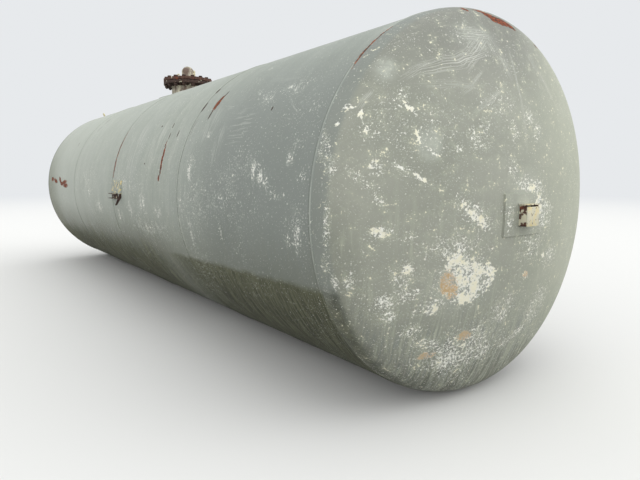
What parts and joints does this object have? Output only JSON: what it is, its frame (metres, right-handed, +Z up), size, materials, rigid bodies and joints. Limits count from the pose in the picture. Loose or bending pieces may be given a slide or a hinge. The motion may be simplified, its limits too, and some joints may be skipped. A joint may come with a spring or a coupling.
{
  "type": "horizontal pressure tank",
  "caption": "Horizontal cylindrical steel pressure tank with dished heads, welded courses and a bolted manway on top; it lies on the ground.",
  "frame": {"origin": "on the ground under the middle of the tank's length, below its axis", "axes": "+X along the tank towards the head with the bracket, +Y to the right when looking along -X at that head, +Z up"},
  "size_m": [8.2682, 2.466, 2.7664],
  "materials": {
    "coating": "weathered grey-green coating, matt",
    "weld": "coated weld seams, matt",
    "rusted_steel": "rusty, rough",
    "gasket": "dull",
    "pale_paint": "faded pale paint, matt"
  },
  "bodies": {
    "root": {"shell_course_1": "coating", "shell_course_2": "coating", "shell_course_3": "coating", "shell_course_4": "coating", "near_head": "coating", "far_head": "coating", "girth_weld_near_head": "weld", "girth_weld_1_2": "weld", "girth_weld_2_3": "weld", "girth_weld_3_4": "weld", "girth_weld_far_head": "weld", "long_weld_1": "weld", "long_weld_2": "weld", "long_weld_3": "weld", "long_weld_4": "weld", "manway_saddle": "coating", "manway_neck": "rusted_steel", "manway_flange": "rusted_steel", "manway_gasket": "gasket", "manway_cover": "rusted_steel", "cover_nozzle": "pale_paint", "nozzle_cap": "pale_paint", "cover_handle": "pale_paint", "cover_eye": "pale_paint", "lifting_lug_left": "pale_paint", "lifting_lug_right": "pale_paint", "head_pad": "coating", "bracket_left": "rusted_steel", "bracket_right": "rusted_steel", "bracket_top": "pale_paint", "bracket_front": "pale_paint", "flank_pad": "pale_paint", "flank_channel": "rusted_steel", "flank_strap": "rusted_steel"}
  },
  "joints": []
}
